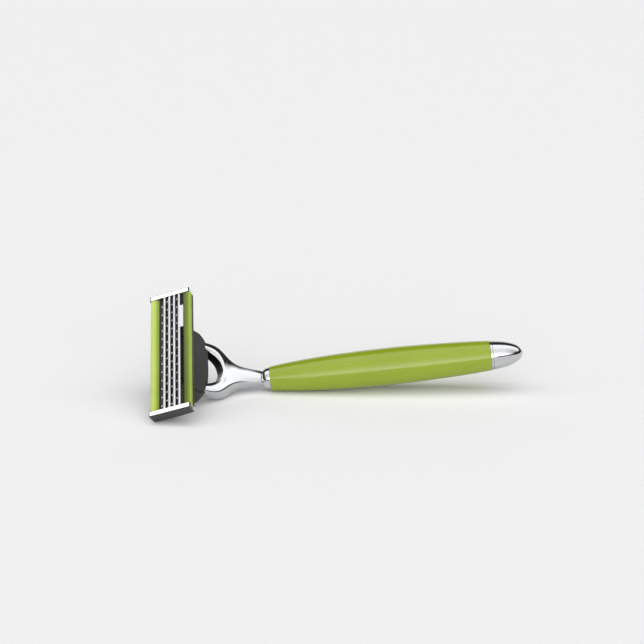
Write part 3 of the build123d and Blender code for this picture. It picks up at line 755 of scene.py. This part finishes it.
def fork_half(sign):
    """Half of the fork as one skin, closed except on its middle line and where it meets the connector."""
    outer = cubic_through(FORK_OUTLINE, 500)
    eye_lines = {high: even_steps(cubic_through(line, 400), ARM_ROWS)
                 for high, line in ((True, EYE_OUTLINE), (False, EYE_FLOOR))}
    split = int(np.argmin(np.abs(outer[:, 0] - STEM_END_X)))
    out_line = np.concatenate([even_steps(outer[:split + 1], STEM_ROWS),
                               even_steps(outer[split:], ARM_ROWS)[1:]])
    out_normal = side_normals(out_line, -1)
    eye_normals = {high: side_normals(line, 1) for high, line in eye_lines.items()}
    for normals in eye_normals.values():
        normals[0] = (-1, 0)
    r = FORK_ROUND
    stems = {high: np.linspace(FORK_OUTLINE[0][0], line[0][0] + EYE_ROUND, STEM_ROWS)
             for high, line in eye_lines.items()}
    verts, faces = [], []

    def row_points(i):
        """One cross row: top from the inside to the outside, down the wall and back underneath."""
        edge, out = out_line[i], out_normal[i]
        inner = i - STEM_ROWS + 1

        def flank(high):
            line, swing = (fork_top, -1) if high else (fork_bottom, 1)
            if inner < 0:
                start = np.array([stems[high][i], 0.0])
            else:
                rim, into = eye_lines[high][inner], eye_normals[high][inner]
                start = rim - into * EYE_ROUND
            flat = [start + (edge - out * r - start) * s / ACROSS for s in range(ACROSS + 1)]
            drop = [CROWN * (s / ACROSS) ** 2 for s in range(ACROSS + 1)]
            if inner >= 0:
                arm, stem = min(1, inner / CROWN_BLEND), max(0, 1 - inner / CROWN_BLEND)
                drop = [CROWN * (2 * s / ACROSS - 1) ** 2 * arm + CROWN * (s / ACROSS) ** 2 * stem
                        for s in range(ACROSS + 1)]
            body = [(p, line(p[0]) + swing * d) for p, d in zip(flat, drop)]
            bend = []
            for s in range(1, EDGE_STEPS + 1):
                a = math.pi / 2 * s / EDGE_STEPS
                p = edge - out * r * (1 - math.sin(a))
                bend.append((p, line(p[0]) + swing * (drop[-1] + r * (1 - math.cos(a)))))
            back = []
            if inner >= 0:
                for s in range(1, EDGE_STEPS + 1):
                    a = math.pi / 2 * s / EDGE_STEPS
                    p = rim - into * EYE_ROUND * (1 - math.sin(a))
                    back.append((p, line(p[0]) + swing * (drop[0] + EYE_ROUND * (1 - math.cos(a)))))
            return body, bend, back

        top, top_bend, top_back = flank(True)
        low, low_bend, low_back = flank(False)
        ring = top_back[::-1] + top + top_bend
        ring += between(top_bend[-1], low_bend[-1]) + low_bend[::-1] + low[::-1]
        if inner >= 0:
            ring += low_back + between(low_back[-1], top_back[-1])
        return [(plan[0], sign * plan[1], z) for plan, z in ring]

    def between(one, two):
        found = []
        for s in range(1, WALL_STEPS):
            t = s / WALL_STEPS
            found.append((one[0] + (two[0] - one[0]) * t, one[1] + (two[1] - one[1]) * t))
        return found

    rows = [row_points(i) for i in range(len(out_line))]
    first = []
    for spots in rows:
        first.append(len(verts))
        verts.extend(spots)
    stem_size = len(rows[0])
    ring_size = len(rows[-1])
    for i in range(STEM_ROWS - 2):
        for j in range(stem_size - 1):
            a, b = first[i] + j, first[i + 1] + j
            faces.append((a, a + 1, b + 1, b))
    last_stem, first_arm = first[STEM_ROWS - 2], first[STEM_ROWS - 1] + EDGE_STEPS
    for j in range(stem_size - 1):
        faces.append((last_stem + j, last_stem + j + 1, first_arm + j + 1, first_arm + j))
    for i in range(STEM_ROWS - 1, len(rows) - 1):
        for j in range(ring_size):
            k = (j + 1) % ring_size
            faces.append((first[i] + j, first[i] + k, first[i + 1] + k, first[i + 1] + j))
    return verts, faces


def add_shell(verts, faces, more_verts, more_faces):
    base = len(verts)
    verts.extend(more_verts)
    faces.extend(tuple(base + i for i in face) for face in more_faces)


def turned(outline, turns):
    """Vertices and faces of an outline of (along, radius) turned about the X axis, open at its ends."""
    verts, faces = [], []
    for along, radius in outline:
        for i in range(turns):
            a = 2 * math.pi * i / turns
            verts.append((along, radius * math.cos(a), radius * math.sin(a)))
    for row in range(len(outline) - 1):
        for i in range(turns):
            j = (i + 1) % turns
            low, high = row * turns, (row + 1) * turns
            faces.append((low + i, low + j, high + j, high + i))
    return verts, faces


fork_verts, fork_faces = [], []
for sign in (1, -1):
    add_shell(fork_verts, fork_faces, *fork_half(sign))
fork = piece("fork_neck_casting", fork_verts, fork_faces, BODY, [cast_chrome, eye_painted_dark_reflection], None, 60)
work = bmesh.new()
work.from_mesh(fork.data)
bmesh.ops.bisect_plane(work, geom=work.verts[:] + work.edges[:] + work.faces[:], dist=1e-8,
                       plane_co=CONN @ Vector((ARM_U + 0.02, 0, 0)), plane_no=U, clear_inner=True)
work.to_mesh(fork.data)
work.free()
work = bmesh.new()
work.from_mesh(fork.data)
bmesh.ops.holes_fill(work, edges=[edge for edge in work.edges if edge.is_boundary], sides=0)
tang_verts, tang_faces = turned(TANG, 64)
made = [work.verts.new(GRIP @ Vector(v)) for v in tang_verts]
for face in tang_faces:
    corners = []
    for i in face:
        if not corners or made[i] not in corners:
            corners.append(made[i])
    work.faces.new(corners)
for side in (-1, 1):
    low, high = sorted(side * y for y in TONGUE_Y)
    block = bmesh.ops.create_cube(work, size=1.0)["verts"]
    for vert in block:
        spot = vert.co
        vert.co = CONN @ Vector((TONGUE_U + spot.x * TONGUE_LONG, (low + high) / 2 + spot.y * (high - low),
                                 TONGUE_V + spot.z * TONGUE_TALL))
bmesh.ops.remove_doubles(work, verts=work.verts, dist=1e-7)
bmesh.ops.recalc_face_normals(work, faces=work.faces)
work.to_mesh(fork.data)
work.free()
fork.data.polygons.foreach_set("use_smooth", [True] * len(fork.data.polygons))
fork.data.set_sharp_from_angle(angle=math.radians(50))
# Faces of the eye's wall that look inward and not steeply up take the painted dark reflection.
for face in fork.data.polygons:
    way = (BODY.to_3x3().inverted() @ face.normal).normalized()
    spot = BODY.inverted() @ face.center
    inward = way.x * (EYE_CENTRE_X - spot.x) - way.y * spot.y
    in_eye = spot.x < EYE_OUTLINE[0][0] + 0.1 and abs(spot.y) < EYE_HALF
    if inward > 0 and way.z < RECESS_TURN and in_eye:
        face.material_index = 1
settle(fork, "handle", "chrome_casting", "fork_neck")


# ---- handle ---------------------------------------------------------------------------------------
def handle_turning(name, outline, material, slot, node, closed=True):
    """A turned piece on the handle axis; a closed outline runs back through its bore."""
    outline = [tuple(p) for p in outline]
    verts, faces = turned(outline + outline[:1] if closed else outline, 160)
    made = piece(name, verts, faces, GRIP, [material])
    return settle(made, "handle", slot, node)


skin = [tuple(p) for p in cubic_through(BARREL_OUTLINE, 120)]
front_edge = rounded(skin[0], (27.7, BORE), skin[1], 0.14)
rear_edge = rounded(skin[-1], skin[-2], (95.3, BORE), 0.14)
handle_turning("barrel_grip", [(27.7, BORE)] + front_edge + skin[2:-2] + rear_edge + [(95.3, BORE)],
               green_lacquer, "green_gloss", "barrel")

nose = [tuple(p) for p in cubic_through(FERRULE_OUTLINE, 24)]
handle_turning("ferrule_collar", [(25.52, TANG_R + 0.01)] + rounded(nose[0], (25.52, TANG_R), nose[1], 0.08)
               + nose[2:] + [(27.66, TANG_R + 0.01)], cast_chrome, "chrome_casting", "ferrule")

ring_outline = [(95.32, 2.42)] + rounded((95.32, 4.5), (95.32, 2.42), (95.95, 4.5), 0.1)
ring_outline += rounded((95.95, 4.5), (95.32, 4.5), (95.95, 2.42), 0.1) + [(95.95, 2.42)]
handle_turning("trim_ring_band", ring_outline, plated_abs, "chromed_plastic", "trim_ring")

dome = [tuple(p) for p in cubic_through(CAP_OUTLINE, 90)]
cup = [tuple(p) for p in cubic_through(CUP_OUTLINE, 40)]
cap_outline = dome[::-1][:-1] + rounded(dome[0], dome[1], CUP_OUTLINE[-1], 0.12) + cup[::-1]
handle_turning("end_cap_shell", cap_outline, plated_abs, "chromed_plastic", "end_cap", closed=False)


# ---- springs --------------------------------------------------------------------------------------
def spring_tree():
    """Geometry nodes: a round wire swept along a helix."""
    group = bpy.data.node_groups.new("coil spring", "GeometryNodeTree")
    ports = [("Turns", "NodeSocketFloat"), ("Coil Radius", "NodeSocketFloat"),
             ("Length", "NodeSocketFloat"), ("Wire Radius", "NodeSocketFloat")]
    group.interface.new_socket("Geometry", in_out="OUTPUT", socket_type="NodeSocketGeometry")
    names = {}
    for port, kind in ports:
        names[port] = group.interface.new_socket(port, in_out="INPUT", socket_type=kind).identifier
    given = add(group, "NodeGroupInput").outputs
    helix = add(group, "GeometryNodeCurveSpiral", {"Resolution": 28, "Rotations": given["Turns"],
                "Start Radius": given["Coil Radius"], "End Radius": given["Coil Radius"],
                "Height": given["Length"]})
    wire = add(group, "GeometryNodeCurvePrimitiveCircle", {"Resolution": 10, "Radius": given["Wire Radius"]})
    sweep = add(group, "GeometryNodeCurveToMesh", {"Curve": helix.outputs["Curve"],
                "Profile Curve": wire.outputs["Curve"], "Fill Caps": True})
    real = add(group, "GeometryNodeRealizeInstances", {"Geometry": sweep.outputs["Mesh"]})
    finish = add(group, "GeometryNodeSetMaterial", {"Geometry": real.outputs["Geometry"],
                 "Material": drawn_steel})
    add(group, "NodeGroupOutput", {"Geometry": finish.outputs["Geometry"]})
    return group, names


coils, coil_ports = spring_tree()
SPRINGS = [
    ("plunger_spring", "plunger_slide", 4.41, 8.09, 1.15, 0.16, 0.0, -2.6, 1),
    ("button_spring_upper", "button_slide", 2.08, 5.25, 0.7, 0.13, 3.0, -3.95, -1),
    ("button_spring_lower", "button_slide", 2.08, 5.25, 0.7, 0.13, -3.0, -3.95, -1),
]
for node, joint, start, end, radius, wire, y, z, pressed in SPRINGS:
    spring = run_nodes(node + "_coil", coils, coil_ports, {
        "Turns": 5.0, "Coil Radius": radius * MM, "Length": (end - start) * MM, "Wire Radius": wire * MM})
    lay = place_matrix(CONN @ Vector((start, y, z)), L, U.cross(L), U)
    lay = lay @ Matrix.Diagonal((1000, 1000, 1000, 1))
    spring.data.transform(lay)
    settle(spring, "handle", "steel", node)
    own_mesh(spring)

# ---- pieces whose CAD shape is kept ---------------------------------------------------------------
KEPT = {
    "blade_carrier_1": carrier_steel, "blade_carrier_2": carrier_steel, "blade_carrier_3": carrier_steel,
    "blade_carrier_4": carrier_steel, "pivot_pin_upper": drawn_steel, "pivot_pin_lower": drawn_steel,
    "return_plunger": acetal, "front_bushing": acetal, "rear_bushing": acetal, "cap_plug": acetal,
    "tang_washer": drawn_steel, "tang_nut": drawn_steel,
}
for node, material in KEPT.items():
    for held in frame["nodes"][node].material_slots:
        held.material = material

bpy.context.view_layer.update()
